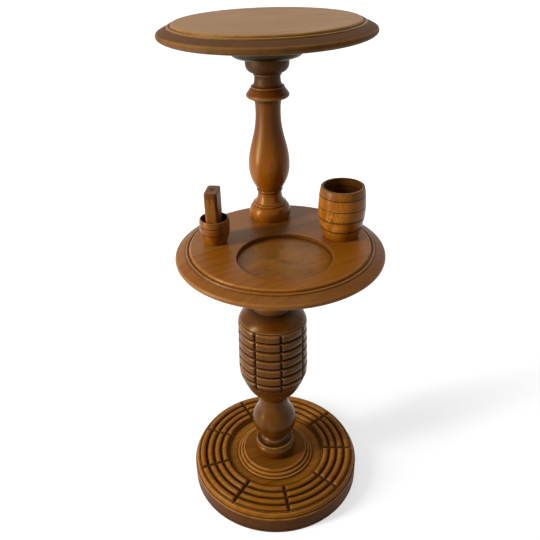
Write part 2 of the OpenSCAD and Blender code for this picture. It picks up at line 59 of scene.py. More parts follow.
camera_data = bpy.data.cameras.new("viewer")
camera_data.lens = 39.447
camera_data.sensor_width = 36
camera_data.shift_x = 0.0250
camera_data.shift_y = 0.0020
camera_data.clip_start = 0.02
camera = bpy.data.objects.new("viewer", camera_data)
scene.collection.objects.link(camera)
camera.location = (
    eye_distance * math.sin(eye_azimuth),
    -eye_distance * math.cos(eye_azimuth),
    eye_height,
)
camera.rotation_euler = (
    Matrix.Rotation(heading, 3, "Z") @ Matrix.Rotation(tilt, 3, "X") @ Matrix.Rotation(roll, 3, "Z")
).to_euler()
scene.camera = camera
scene.view_settings.view_transform = "Standard"


# ---------------------------------------------------------------- room
# A pale room: a white floor that keeps a soft shadow, a window at the left that
# gives the long highlights on the turnings, and weak light from the other sides.

room_light = 0.28
floor_half = 12.0
floor_grey = (0.48, 0.48, 0.48, 1)
floor_glow_near = 0.58
floor_near = 0.3
floor_far = 1.2


def feed(tree, socket, value):
    """Sets a socket to a fixed value, or links another node's output to it."""
    if hasattr(value, "is_linked"):
        tree.links.new(value, socket)
    else:
        socket.default_value = value


def add_range(tree, value, low, high, to_low=0.0, to_high=1.0):
    """Spreads a value between two limits, clamped."""
    spread = tree.nodes.new("ShaderNodeMapRange")
    labels = ("Value", "From Min", "From Max", "To Min", "To Max")
    for label, given in zip(labels, (value, low, high, to_low, to_high)):
        feed(tree, spread.inputs[label], given)
    return spread.outputs["Result"]


def add_math(tree, operation, a, b):
    """One sum on two sockets or numbers."""
    step = tree.nodes.new("ShaderNodeMath")
    step.operation = operation
    feed(tree, step.inputs[0], a)
    feed(tree, step.inputs[1], b)
    return step.outputs[0]


def add_length(tree, vector):
    """The length of a vector."""
    span = tree.nodes.new("ShaderNodeVectorMath")
    span.operation = "LENGTH"
    tree.links.new(vector, span.inputs[0])
    return span.outputs["Value"]


def seen_directly(tree):
    """1 for the rays that show the background: from the camera, off gloss and through glass."""
    rays = tree.nodes.new("ShaderNodeLightPath")
    shown = rays.outputs["Is Camera Ray"]
    for kind in ("Is Glossy Ray", "Is Transmission Ray"):
        shown = add_math(tree, "MAXIMUM", shown, rays.outputs[kind])
    return shown


world = bpy.data.worlds.new("pale_room")
scene.world = world
world.use_nodes = True
tree = world.node_tree
background = tree.nodes["Background"]
background.inputs["Color"].default_value = (1, 1, 1, 1)
strength = add_range(tree, seen_directly(tree), 0.0, 1.0, room_light, 1.0)
tree.links.new(strength, background.inputs["Strength"])

floor_mesh = bpy.data.meshes.new("floor")
bm = bmesh.new()
bmesh.ops.create_grid(bm, x_segments=1, y_segments=1, size=floor_half)
bm.to_mesh(floor_mesh)
bm.free()
floor = bpy.data.objects.new("floor", floor_mesh)
scene.collection.objects.link(floor)
floor_paint = bpy.data.materials.new("floor_paint")
floor_paint.use_nodes = True
tree = floor_paint.node_tree
paint = tree.nodes["Principled BSDF"]
paint.inputs["Base Color"].default_value = floor_grey
paint.inputs["Roughness"].default_value = 0.9
paint.inputs["Specular IOR Level"].default_value = 0.1
paint.inputs["Emission Color"].default_value = (1, 1, 1, 1)
place = tree.nodes.new("ShaderNodeTexCoord")
distance = add_length(tree, place.outputs["Object"])
glow = add_range(tree, distance, floor_near, floor_far, floor_glow_near, 1.0)
glow = add_math(tree, "MULTIPLY", seen_directly(tree), glow)
tree.links.new(glow, paint.inputs["Emission Strength"])
floor_mesh.materials.append(floor_paint)


def hang_lamp(name, place, aim, width, height, power):
    """A soft rectangular lamp that faces the point it is aimed at."""
    data = bpy.data.lights.new(name, "AREA")
    data.shape = "RECTANGLE"
    data.size = width
    data.size_y = height
    data.energy = power
    lamp = bpy.data.objects.new(name, data)
    lamp.location = place
    lamp.rotation_euler = (Vector(aim) - Vector(place)).to_track_quat("-Z", "Y").to_euler()
    scene.collection.objects.link(lamp)


hang_lamp("window", place=(-1.37, -0.34, 0.86), aim=(0, -0.03, 0.42), width=0.24, height=1.25, power=36)
hang_lamp("front_fill", place=(0.3, -1.9, 1.2), aim=(0, -0.03, 0.35), width=1.2, height=1.2, power=2)
hang_lamp("ceiling", place=(0.0, 0.2, 2.2), aim=(0, 0, 0.4), width=1.4, height=1.4, power=14)


# ---------------------------------------------------------------- base
# The base is a heavy disc of stained and lacquered beech, turned from a board laid flat.
# Four rings of ribs were turned into it and then carved across by hand, nine times, so
# that each rib ends in a rounded nose at every cut.

base_deep = (0.100, 0.0285, 0.0015, 1)
base_pale = (0.320, 0.1140, 0.0090, 1)
# The dark stain and dark wax colours also paint shade, and the bare arris colour also paints
# highlights.
dark_stain_and_shade = (0.034, 0.0072, 0.0003, 1)
dark_wax_and_shade = (0.0140, 0.0042, 0.0009, 1)
bare_arris_and_highlight = (0.36, 0.155, 0.040, 1)
pore_filler = (0.035, 0.011, 0.003, 1)
amber_lacquer = (1, 0.80, 0.42, 1)
base_turns = 378
base_cuts = 9
base_cut_turn = math.radians(1)
base_cut_depth = 0.0046
base_cut_half = 0.0040
base_cut_ease = 0.0011
ribs_from = 0.0775
ribs_to = 0.1250
rib_rings = 4
rib_half = 0.0045
rib_crest = 0.0415
rib_depth = 0.0043
carved_face_low = 0.033
base_wall_radius = 0.1318
arris = 0.0005
arris_angle = math.radians(32)


def azimuth_point(angle, radius=1.0):
    """A point on the floor at an angle from the front (-Y), towards +X."""
    return Vector((radius * math.sin(angle), -radius * math.cos(angle), 0))


def half_section(node, angle, centre=(0, 0)):
    """The outline of a turned CAD node from its own cut face at one angle, as a bmesh of edges."""
    bm = bmesh.new()
    bm.from_mesh(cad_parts[node].data)
    bmesh.ops.remove_doubles(bm, verts=bm.verts, dist=1e-6)
    middle = Vector((centre[0], centre[1], 0))
    outward = azimuth_point(angle)
    across = outward.cross(Vector((0, 0, 1)))
    cut = bmesh.ops.bisect_plane(
        bm,
        geom=bm.verts[:] + bm.edges[:] + bm.faces[:],
        dist=1e-7,
        plane_co=middle,
        plane_no=across,
        clear_inner=True,
        clear_outer=True,
    )["geom_cut"]
    outline = set(cut)
    spare = [v for v in bm.verts if v not in outline or (v.co - middle).dot(outward) < -1e-5]
    bmesh.ops.delete(bm, geom=spare, context="VERTS")
    bmesh.ops.remove_doubles(bm, verts=bm.verts, dist=4e-6)
    bmesh.ops.dissolve_limit(bm, angle_limit=math.radians(0.6), verts=bm.verts, edges=bm.edges)
    for vert in bm.verts:
        if (vert.co - middle).dot(outward) < 2e-5:
            vert.co.xy = middle.xy
    return bm


def divide_outline(bm, span, above):
    """Divides the long edges of an outline above a height into equal lengths."""
    for edge in bm.edges[:]:
        pieces = math.ceil(edge.calc_length() / span)
        if pieces > 1 and max(v.co.z for v in edge.verts) > above:
            bmesh.ops.subdivide_edges(bm, edges=[edge], cuts=pieces - 1)


def ease_arrises(bm, size, sharper_than):
    """Rounds the corners of an outline that turn by more than an angle."""
    corners = []
    for vert in bm.verts:
        if len(vert.link_edges) == 2:
            a, b = (edge.other_vert(vert).co - vert.co for edge in vert.link_edges)
            if a.angle(-b) > sharper_than and min(a.length, b.length) > 0.4 * size:
                reach = min(size, 0.35 * a.length, 0.35 * b.length)
                corners.append((vert, reach, a.normalized(), b.normalized()))
    for vert, reach, a, b in corners:
        start, end = vert.co + a * reach, vert.co + b * reach
        middle = vert.co + (a + b) * reach * 0.29
        edge_a, edge_b = vert.link_edges
        far_a, far_b = edge_a.other_vert(vert), edge_b.other_vert(vert)
        first, last = bm.verts.new(start), bm.verts.new(end)
        bm.edges.remove(edge_a)
        bm.edges.remove(edge_b)
        vert.co = middle
        for pair in ((far_a, first), (first, vert), (vert, last), (last, far_b)):
            bm.edges.new(pair)


def turn_piece(bm, steps, centre=(0, 0)):
    """Spins an outline once round its axis into a closed skin."""
    bmesh.ops.spin(
        bm,
        geom=bm.verts[:] + bm.edges[:],
        cent=(centre[0], centre[1], 0),
        axis=(0, 0, 1),
        dvec=(0, 0, 0),
        angle=math.tau,
        steps=steps,
        use_merge=True,
        use_duplicate=False,
    )
    bmesh.ops.remove_doubles(bm, verts=bm.verts, dist=1e-6)
    bmesh.ops.recalc_face_normals(bm, faces=bm.faces)


def gather_turns(bm, cuts, turned, share):
    """Slides the meridians of a spun skin round, so that they crowd at the carved cuts."""
    for vert in bm.verts:
        radius = vert.co.xy.length
        if radius > 1e-5:
            angle = math.atan2(vert.co.x, -vert.co.y) - turned
            angle -= share * math.sin(cuts * angle) / cuts
            vert.co.xy = azimuth_point(angle + turned, radius).xy


def smooth_step(value, low, high):
    """Rises from 0 to 1 between two limits."""
    share = min(max((value - low) / (high - low), 0), 1)
    return share * share * (3 - 2 * share)


def mark_relief(bm, centre=(0, 0), close=0.0012, wide=0.006):
    """Stores on an outline how hollow and how proud each point is, over a close and a wide span."""
    layers = [bm.verts.layers.float.new(name) for name in ("hollow", "proud", "stain_and_shade")]
    left = set(bm.verts)
    while left:
        start = min(left, key=lambda v: (len(v.link_edges), v.co.z))
        chain, here = [], start
        while here:
            chain.append(here)
            left.discard(here)
            ahead = [edge.other_vert(here) for edge in here.link_edges]
            here = next((vert for vert in ahead if vert in left), None)
        points = [Vector((math.hypot(v.co.x - centre[0], v.co.y - centre[1]), v.co.z)) for v in chain]
        turn = sum(a.cross(b) for a, b in zip(points, points[1:] + points[:1]))
        if turn < 0:
            chain.reverse()
            points.reverse()
        run = [0.0]
        for a, b in zip(points, points[1:]):
            run.append(run[-1] + (b - a).length)
        for vert, point, at in zip(chain, points, run):
            rises = []
            for span in (close, wide):
                ends = []
                for target in (at - span, at + span):
                    i = min(max(bisect.bisect_left(run, target), 1), len(run) - 1)
                    share = min(max((target - run[i - 1]) / max(run[i] - run[i - 1], 1e-9), 0), 1)
                    ends.append(points[i - 1].lerp(points[i], share))
                along = ends[1] - ends[0]
                out = Vector((along.y, -along.x)).normalized()
                rises.append(((ends[0] + ends[1]) / 2 - point).dot(out))
            # The hollow share later darkens creases and coves with wax and painted shade; the proud
            # share lightens arrises with rubbing and a painted highlight.
            sharp_hollow = smooth_step(rises[0], 0.00005, 0.00035)
            broad_hollow = 0.55 * smooth_step(rises[1], 0.0004, 0.003)
            vert[layers[0]] = max(sharp_hollow, broad_hollow)
            vert[layers[1]] = smooth_step(-rises[0], 0.00008, 0.0004)


def stain_and_shade_zone(bm, depth):
    """Darkens each point by a share that a function gives; in most pieces this paints shade."""
    stain_and_shade = bm.verts.layers.float["stain_and_shade"]
    for vert in bm.verts:
        vert[stain_and_shade] = min(max(depth(vert.co), 0), 1)


def finish_piece(bm, name, node, material):
    """Makes the shown piece from a bmesh, in place of its CAD node."""
    mesh = bpy.data.meshes.new(name)
    bm.to_mesh(mesh)
    bm.free()
    mesh.shade_smooth()
    mesh.materials.append(material)
    piece = bpy.data.objects.new(name, mesh)
    scene.collection.objects.link(piece)
    even = piece.modifiers.new("even_shading", "WEIGHTED_NORMAL")
    even.keep_sharp = True
    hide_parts(node)
    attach(piece, "root")
    return piece


def node_group(name, inputs, outputs):
    """An empty shader group with named inputs and outputs."""
    group = bpy.data.node_groups.new(name, "ShaderNodeTree")
    for label, kind, value in inputs:
        socket = group.interface.new_socket(label, in_out="INPUT", socket_type=kind)
        if value is not None:
            socket.default_value = value
    for label, kind in outputs:
        group.interface.new_socket(label, in_out="OUTPUT", socket_type=kind)
    return group, group.nodes.new("NodeGroupInput"), group.nodes.new("NodeGroupOutput")


def add_noise(tree, vector, scale, detail=3.0, roughness=0.5, distortion=0.0):
    """A noise texture on the given coordinates."""
    noise = tree.nodes.new("ShaderNodeTexNoise")
    noise.inputs["Scale"].default_value = scale
    noise.inputs["Detail"].default_value = detail
    noise.inputs["Roughness"].default_value = roughness
    noise.inputs["Distortion"].default_value = distortion
    tree.links.new(vector, noise.inputs["Vector"])
    return noise.outputs["Fac"]


def add_mix(tree, fac, a, b):
    """Mixes two colours by a factor."""
    mix = tree.nodes.new("ShaderNodeMix")
    mix.data_type = "RGBA"
    for label, value in (("Factor", fac), ("A", a), ("B", b)):
        feed(tree, mix.inputs[label], value)
    return mix.outputs["Result"]


def add_stretch(tree, vector, factors):
    """A vector whose three coordinates are each multiplied."""
    stretch = tree.nodes.new("ShaderNodeVectorMath")
    stretch.operation = "MULTIPLY"
    stretch.inputs[1].default_value = factors
    tree.links.new(vector, stretch.inputs[0])
    return stretch.outputs[0]


def add_place(tree, vector, location, turn=(0, 0, 0), size=(1, 1, 1)):
    """Coordinates counted from a place, which may be turned and scaled."""
    mapping = tree.nodes.new("ShaderNodeMapping")
    mapping.vector_type = "TEXTURE"
    mapping.inputs["Location"].default_value = location
    mapping.inputs["Rotation"].default_value = turn
    mapping.inputs["Scale"].default_value = size
    tree.links.new(vector, mapping.inputs["Vector"])
    return mapping.outputs["Vector"]


# The figure of stained beech: broad streaks and growth rings along the grain (Z of the
# vector), fine fibres, and short dark pores.
grain, given, made = node_group(
    "stained_grain",
    [
        ("Vector", "NodeSocketVector", None),
        ("Deep", "NodeSocketColor", base_deep),
        ("Pale", "NodeSocketColor", base_pale),
        ("Figure", "NodeSocketFloat", 0.5),
        ("Pores", "NodeSocketFloat", 0.5),
        ("Fineness", "NodeSocketFloat", 1.0),
    ],
    [("Color", "NodeSocketColor"), ("Height", "NodeSocketFloat")],
)
stem = given.outputs["Vector"]
along = add_stretch(grain, stem, (1, 1, 0.06))
finer = grain.nodes.new("ShaderNodeVectorMath")
finer.operation = "SCALE"
grain.links.new(along, finer.inputs[0])
grain.links.new(given.outputs["Fineness"], finer.inputs["Scale"])
streaks = add_noise(grain, finer.outputs[0], 70, 5, 0.62, 0.3)
fibres = add_noise(grain, along, 900, 2, 0.6)
rings = grain.nodes.new("ShaderNodeTexWave")
rings.wave_type = "RINGS"
rings.rings_direction = "Z"
rings.wave_profile = "SAW"
rings.inputs["Scale"].default_value = 26
rings.inputs["Distortion"].default_value = 5.5
rings.inputs["Detail"].default_value = 2.5
rings.inputs["Detail Scale"].default_value = 1.6
grain.links.new(add_stretch(grain, stem, (1, 1, 0.16)), rings.inputs["Vector"])
short = add_stretch(grain, stem, (1, 1, 0.14))
pores = add_range(grain, add_noise(grain, short, 1500, 1, 0.4), 0.66, 0.74)
streaked = add_math(grain, "MULTIPLY", add_range(grain, streaks, 0.3, 0.7), 0.6)
ringed = add_math(grain, "MULTIPLY", rings.outputs["Fac"], 0.4)
figure = add_math(grain, "SUBTRACT", add_math(grain, "ADD", streaked, ringed), 0.5)
figure = add_math(grain, "MULTIPLY", figure, given.outputs["Figure"])
tone = add_math(grain, "ADD", figure, add_math(grain, "MULTIPLY", fibres, 0.24))
tone = add_math(grain, "ADD", tone, 0.38)
colour = add_mix(grain, tone, given.outputs["Deep"], given.outputs["Pale"])
pore_shade = add_math(grain, "MULTIPLY", pores, given.outputs["Pores"])
colour = add_mix(grain, pore_shade, colour, pore_filler)
grain.links.new(colour, made.inputs["Color"])
height = add_math(grain, "SUBTRACT", add_math(grain, "MULTIPLY", fibres, 0.5), pore_shade)
grain.links.new(height, made.inputs["Height"])

# What years of use add, together with painted light: dark wax, dust and painted shade in the hollows,
# rubbed arrises that also carry painted highlights, darker stain and painted shade where a piece
# marks it, and a lacquer that is duller in patches.
wear_and_light, given, made = node_group(
    "use_and_painted_light",
    [
        ("Color", "NodeSocketColor", base_pale),
        ("Vector", "NodeSocketVector", None),
        ("Hollow", "NodeSocketFloat", 0.0),
        ("Proud", "NodeSocketFloat", 0.0),
        ("Stain_and_shade", "NodeSocketFloat", 0.0),
        ("Grime_and_shade", "NodeSocketFloat", 0.85),
        ("Rubbing_and_highlight", "NodeSocketFloat", 0.35),
        ("Polished", "NodeSocketFloat", 0.26),
        ("Dull", "NodeSocketFloat", 0.34),
    ],
    [("Color", "NodeSocketColor"), ("Roughness", "NodeSocketFloat")],
)
patches = add_noise(wear_and_light, given.outputs["Vector"], 22, 4, 0.6)
touched = add_noise(wear_and_light, given.outputs["Vector"], 48, 2, 0.5)
# The hollow share darkens towards dark wax: partly wax and dust, partly painted shade.
dirt_and_shade = add_range(wear_and_light, patches, 0.1, 0.7, 0.75, 1.0)
dirt_and_shade = add_math(wear_and_light, "MULTIPLY", given.outputs["Hollow"], dirt_and_shade)
dirt_and_shade = add_math(wear_and_light, "MULTIPLY", dirt_and_shade, given.outputs["Grime_and_shade"])
# The stain share darkens towards a dark stain colour; in most pieces it paints shade under and inside
# things.
stained = add_mix(wear_and_light, given.outputs["Stain_and_shade"], given.outputs["Color"], dark_stain_and_shade)
shaded = add_mix(wear_and_light, dirt_and_shade, stained, dark_wax_and_shade)
# Proud arrises are lightened towards bare wood: partly rubbing, partly painted highlight.
rubbed_and_lit = add_range(wear_and_light, touched, 0.25, 0.6, 0.35, 1.0)
rubbed_and_lit = add_math(wear_and_light, "MULTIPLY", given.outputs["Proud"], rubbed_and_lit)
rubbed_and_lit = add_math(wear_and_light, "MULTIPLY", rubbed_and_lit, given.outputs["Rubbing_and_highlight"])
worn_and_lit = add_mix(wear_and_light, rubbed_and_lit, shaded, bare_arris_and_highlight)
wear_and_light.links.new(worn_and_lit, made.inputs["Color"])
gloss = add_range(wear_and_light, patches, 0.35, 0.65, given.outputs["Polished"], given.outputs["Dull"])
roughness = add_math(wear_and_light, "ADD", gloss, add_math(wear_and_light, "MULTIPLY", dirt_and_shade, 0.15))
roughness = add_math(wear_and_light, "ADD", roughness, add_math(wear_and_light, "MULTIPLY", given.outputs["Stain_and_shade"], 0.25))
wear_and_light.links.new(roughness, made.inputs["Roughness"])


def stained_wood(
    name, centre, turn, deep, pale, figure=0.5, pores=0.5, grime_and_shade=0.92, rubbing_and_highlight=0.5,
    polished=0.25, dull=0.33, fine=1.0, shine=0.26,
):
    """Stained and lacquered beech whose grain runs along Z before the pattern is centred and turned."""
    material = bpy.data.materials.new(name)
    material.use_nodes = True
    tree = material.node_tree
    lacquer = tree.nodes["Principled BSDF"]
    lacquer.inputs["Specular IOR Level"].default_value = shine
    lacquer.inputs["Specular Tint"].default_value = amber_lacquer
    lacquer.inputs["IOR"].default_value = 1.48
    place = tree.nodes.new("ShaderNodeTexCoord").outputs["Object"]
    wood = tree.nodes.new("ShaderNodeGroup")
    wood.node_tree = grain
    wood.inputs["Deep"].default_value = deep
    wood.inputs["Pale"].default_value = pale
    wood.inputs["Figure"].default_value = figure
    wood.inputs["Pores"].default_value = pores
    wood.inputs["Fineness"].default_value = fine
    tree.links.new(add_place(tree, place, centre, turn), wood.inputs["Vector"])
    # This node applies wear, dirt and the painted light that the hollow, proud and stain layers carry.
    use = tree.nodes.new("ShaderNodeGroup")
    use.node_tree = wear_and_light
    use.name = "use"
    use.inputs["Grime_and_shade"].default_value = grime_and_shade
    use.inputs["Rubbing_and_highlight"].default_value = rubbing_and_highlight
    use.inputs["Polished"].default_value = polished
    use.inputs["Dull"].default_value = dull
    tree.links.new(place, use.inputs["Vector"])
    tree.links.new(wood.outputs["Color"], use.inputs["Color"])
    for label, layer in (("Hollow", "hollow"), ("Proud", "proud"), ("Stain_and_shade", "stain_and_shade")):
        stored = tree.nodes.new("ShaderNodeAttribute")
        stored.attribute_name = layer
        tree.links.new(stored.outputs["Fac"], use.inputs[label])
    tree.links.new(use.outputs["Color"], lacquer.inputs["Base Color"])
    tree.links.new(use.outputs["Roughness"], lacquer.inputs["Roughness"])
    bump = tree.nodes.new("ShaderNodeBump")
    bump.inputs["Strength"].default_value = 0.09
    bump.inputs["Distance"].default_value = 0.0003
    tree.links.new(wood.outputs["Height"], bump.inputs["Height"])
    tree.links.new(bump.outputs["Normal"], lacquer.inputs["Normal"])
    return material


base_wood = stained_wood(
    "base_wood", (0.02, 0.30, 0.0), (0, math.radians(90), math.radians(12)), base_deep, base_pale,
    figure=0.55, pores=0.35, rubbing_and_highlight=0.7, shine=0.08,
)
bm = half_section("base_disc", base_cut_turn + math.pi / base_cuts)
ease_arrises(bm, arris, arris_angle)
divide_outline(bm, span=0.0022, above=0.001)
divide_outline(bm, span=0.0011, above=0.0375)
rib_pitch = (ribs_to - ribs_from) / rib_rings
for vert in bm.verts:
    radius = vert.co.xy.length
    if ribs_from < radius < ribs_to and vert.co.z > carved_face_low:
        off = abs((radius - ribs_from) % rib_pitch - rib_pitch / 2) / rib_half
        rounded = rib_crest - rib_depth * (1 - math.sqrt(max(1 - off * off, 0)))
        vert.co.z = min(vert.co.z, rounded)
mark_relief(bm)
turn_piece(bm, base_turns)
gather_turns(bm, base_cuts, base_cut_turn, share=0.55)
hollow, proud = (bm.verts.layers.float[name] for name in ("hollow", "proud"))
for vert in bm.verts:
    radius = vert.co.xy.length
    if ribs_from - 0.004 < radius < ribs_to + 0.0018 and vert.co.z > carved_face_low:
        angle = math.atan2(vert.co.x, -vert.co.y) - base_cut_turn
        sector = math.tau / base_cuts
        off = abs(radius * math.sin((angle + sector / 2) % sector - sector / 2))
        wall = rib_crest - base_cut_depth + base_cut_depth * (off / base_cut_half) ** 1.3
        blend = max(base_cut_ease - abs(vert.co.z - wall), 0) / base_cut_ease
        vert.co.z = min(vert.co.z, wall) - blend * blend * base_cut_ease / 4
        # Painted shade and dark wax fill the rib valleys and the cuts; the rib crests are lightened by
        # rubbing and a painted highlight.
        if ribs_from < radius < ribs_to:
            vert[hollow] = smooth_step(rib_crest - vert.co.z, 0.0013, 0.0034)
            vert[proud] = 0.22 * smooth_step(vert.co.z, rib_crest - 0.0008, rib_crest)


def base_darker_zones(point):
    """Darker at the wall, towards the bottom and in the middle round the column."""
    radius = point.xy.length
    wall = 0.76 * smooth_step(radius, base_wall_radius - 0.0013, base_wall_radius)
    foot = 0.20 * smooth_step(0.012 - point.z, 0, 0.01)
    middle = 0.40 * (1 - smooth_step(radius, 0.045, 0.06))
    return wall + foot + middle


stain_and_shade_zone(bm, base_darker_zones)
finish_piece(bm, "carved_base", "base_disc", base_wood)


# ---------------------------------------------------------------- coach screw
# One plated coach screw and its washer, in a counterbored pocket under the base, draw
# the lower column down on the base. The zinc is dull and a little stained.

zinc_bright = (0.45, 0.44, 0.41, 1)
zinc_stain = (0.22, 0.19, 0.15, 1)
screw_crease = math.radians(35)

zinc = bpy.data.materials.new("dull_zinc")
zinc.use_nodes = True
tree = zinc.node_tree
metal = tree.nodes["Principled BSDF"]
metal.inputs["Metallic"].default_value = 1.0
place = tree.nodes.new("ShaderNodeTexCoord").outputs["Object"]
stains = add_noise(tree, place, 160, 4, 0.6)
zinc_tone = add_mix(tree, add_range(tree, stains, 0.4, 0.7), zinc_bright, zinc_stain)
tree.links.new(zinc_tone, metal.inputs["Base Color"])
tree.links.new(add_range(tree, stains, 0.35, 0.7, 0.32, 0.6), metal.inputs["Roughness"])
scratches = tree.nodes.new("ShaderNodeBump")
scratches.inputs["Strength"].default_value = 0.2
scratches.inputs["Distance"].default_value = 0.0002
tree.links.new(add_noise(tree, place, 1400, 2, 0.5), scratches.inputs["Height"])
tree.links.new(scratches.outputs["Normal"], metal.inputs["Normal"])


def weld_copy(node, crease):
    """A welded copy of a CAD node as a bmesh, with its edges sharper than an angle marked."""
    bm = bmesh.new()
    bm.from_mesh(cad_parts[node].data)
    bmesh.ops.remove_doubles(bm, verts=bm.verts, dist=1e-6)
    for edge in bm.edges:
        edge.smooth = len(edge.link_faces) == 2 and edge.calc_face_angle(0) < crease
    return bm


finish_piece(weld_copy("coach_screw", screw_crease), "base_screw", "coach_screw", zinc)
finish_piece(weld_copy("coach_washer", screw_crease), "base_washer", "coach_washer", zinc)


# ---------------------------------------------------------------- lower column
# The lower column is one turning of dark stained beech: foot, fillets, ball, neck and
# barrel. The barrel's seven rings were turned first and then fluted by hand, eight
# times round.

column_deep = (0.040, 0.0100, 0.0006, 1)
column_pale = (0.136, 0.0400, 0.0022, 1)
column_turns = 176
flutes = 8
flute_turn = math.radians(5.5)
flute_half = 0.0026
flute_depth = 0.0040
flute_ease = 0.0016
barrel_foot = 0.2003
barrel_foot_radius = 0.0468
barrel_head = 0.3048
barrel_ribs = 7
barrel_radius = 0.0510
belly_height = 0.215
head_draw, head_span = 0.0018, 0.089
foot_draw, foot_span = 0.0030, 0.0148
groove_half = 0.0019
groove_depth = 0.0028
cove_low = 0.1465
cove_high = 0.1705
cove_radius = 0.0223
cove_flare_from = 0.156

column_wood = stained_wood(
    "lower_column_wood", (0.035, 0.05, 0.0), (0.02, 0.03, 0.0), column_deep, column_pale,
    figure=0.55, pores=0.4, rubbing_and_highlight=0.75, polished=0.22, dull=0.30, shine=0.22,
)
bm = half_section("lower_column", flute_turn + math.pi / flutes)
ease_arrises(bm, arris, arris_angle)
divide_outline(bm, span=0.003, above=0.07)
for vert in bm.verts:
    height = vert.co.z
    if cove_low < height < cove_high:
        cove = cove_radius + 0.0088 * max((height - cove_flare_from) / 0.0147, 0) ** 2.2
        vert.co.xy *= min(cove / vert.co.xy.length, 1)
    elif barrel_foot - 0.0004 < height < barrel_foot + 0.0013:
        vert.co.xy *= barrel_foot_radius / vert.co.xy.length
barrel_edges = []
for edge in bm.edges:
    if all(barrel_foot - 0.0013 < v.co.z < barrel_head and v.co.xy.length > 0.04 for v in edge.verts):
        barrel_edges.append(edge)
for edge in barrel_edges:
    pieces = math.ceil(edge.calc_length() / 0.0010)
    if pieces > 1:
        bmesh.ops.subdivide_edges(bm, edges=[edge], cuts=pieces - 1)
mark_relief(bm)
hollow, proud = (bm.verts.layers.float[name] for name in ("hollow", "proud"))
pitch = (barrel_head - barrel_foot) / barrel_ribs


def barrel_skin(height):
    """Radius over the ribs, which draws in at the lowest rib and a little to the top."""
    to_head = head_draw * max(height - belly_height, 0) / head_span
    to_foot = foot_draw * max(belly_height - height, 0) / foot_span
    return barrel_radius - to_head - to_foot


for vert in bm.verts:
    radius, height = vert.co.xy.length, vert.co.z
    if barrel_foot + 0.003 < height < barrel_head - 0.002 and radius > 0.04:
        from_line = (height - barrel_foot + 0.0004 + pitch / 2) % pitch - pitch / 2
        off = abs(from_line) / groove_half
        cut = groove_depth * (1 - off**3) if off < 1 else 0.0
        cut += 0.0011 * max(2.2 - off, 0) ** 2
        carved = min(radius, barrel_skin(height) + 0.0002 - cut)
        vert.co.xy *= carved / radius
        # The grooves are darkened with wax and painted shade, and each rib's upper arris is lightened
        # with rubbing and a painted highlight.
        vert[hollow] = smooth_step(cut, 0.0016, 0.0028)
        rib_edge_rub_and_highlight = 0.6 * smooth_step(2.4 - off, 0.2, 0.9) * (1 - vert[hollow])
        vert[proud] = rib_edge_rub_and_highlight if from_line < 0 else 0.0
for vert in bm.verts:
    if abs(vert.co.z - barrel_foot) < 0.004:
        vert[hollow] = vert[proud] = 0.0
turn_piece(bm, column_turns)
gather_turns(bm, flutes, flute_turn, share=0.66)
hollow, proud = (bm.verts.layers.float[name] for name in ("hollow", "proud"))
for vert in bm.verts:
    radius = vert.co.xy.length
    if barrel_foot - 0.001 < vert.co.z < barrel_head and radius > 0.035:
        angle = math.atan2(vert.co.x, -vert.co.y) - flute_turn
        sector = math.tau / flutes
        off = abs(radius * math.sin((angle + sector / 2) % sector - sector / 2))
        skin = barrel_skin(vert.co.z)
        wall = skin - flute_depth + flute_depth * off / flute_half
        blend = max(flute_ease - abs(radius - wall), 0) / flute_ease
        carved = min(radius, wall) - blend * blend * flute_ease / 4
        vert.co.xy *= carved / radius
        # The flutes are darkened with wax and painted shade.
        vert[hollow] = max(smooth_step(skin - carved, 0.0009, 0.0020), vert[hollow])


def column_wax_and_shade(point):
    """Darkening in the cove over the shoulder, partly waxed and partly painted shade under the shelf,
    and painted shade up the neck and round the barrel's foot.
    """
    height = point.z
    over_shoulder = 0.97 * smooth_step(0.0395 - point.xy.length, 0, 0.0075)
    over_shoulder *= smooth_step(height, 0.308, 0.314)
    over_shoulder *= 1 - 0.45 * smooth_step(height, 0.3235, 0.3245)
    up_neck = 0.5 * smooth_step(height, 0.335, 0.34) * (1 - smooth_step(height, 0.40, 0.42))
    under_barrel = 0.30 * smooth_step(height, 0.185, 0.2) * (1 - smooth_step(height, 0.205, 0.215))
    return over_shoulder + up_neck + under_barrel


stain_and_shade_zone(bm, column_wax_and_shade)
finish_piece(bm, "barrel_column", "lower_column", column_wood)


# ---------------------------------------------------------------- shelf
# The shelf is a round board glued up from planks of stained beech, moulded round its
# edge, with a shallow recess for an ashtray. Heat and spills have left it mottled.

shelf_deep = (0.145, 0.0385, 0.0016, 1)
shelf_pale = (0.282, 0.0920, 0.0052, 1)
faded_wood = (0.280, 0.125, 0.0240, 1)
scorched_and_shaded_wood = (0.070, 0.0290, 0.0060, 1)
paler_plank_and_light = (0.300, 0.130, 0.0260, 1)
open_glue_line = (0.030, 0.010, 0.002, 1)
board_grain = math.radians(23)
board_crease = math.radians(30)
shelf_low, shelf_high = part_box("shelf")
shelf_x, shelf_y = ((a + b) / 2 for a, b in zip(shelf_low[:2], shelf_high[:2]))
shelf_height = 0.4635
recess_radius = 0.0548
recess_forward = 0.035
recess_over_underside = 0.010
quirk_lines = ((0.0160, 0.0016), (0.0122, 0.0011))
rubbed_and_lit_lines = ((0.0186, 0.0012), (0.0139, 0.0010), (0.0010, 0.0016))
glue_line_turn = math.radians(22.8)
glue_line_point = (-0.043, 0.008, 0)
in_plan = (1, 1, 0)


def add_split(tree, vector):
    """The three coordinates of a vector."""
    split = tree.nodes.new("ShaderNodeSeparateXYZ")
    tree.links.new(vector, split.inputs[0])
    return split.outputs


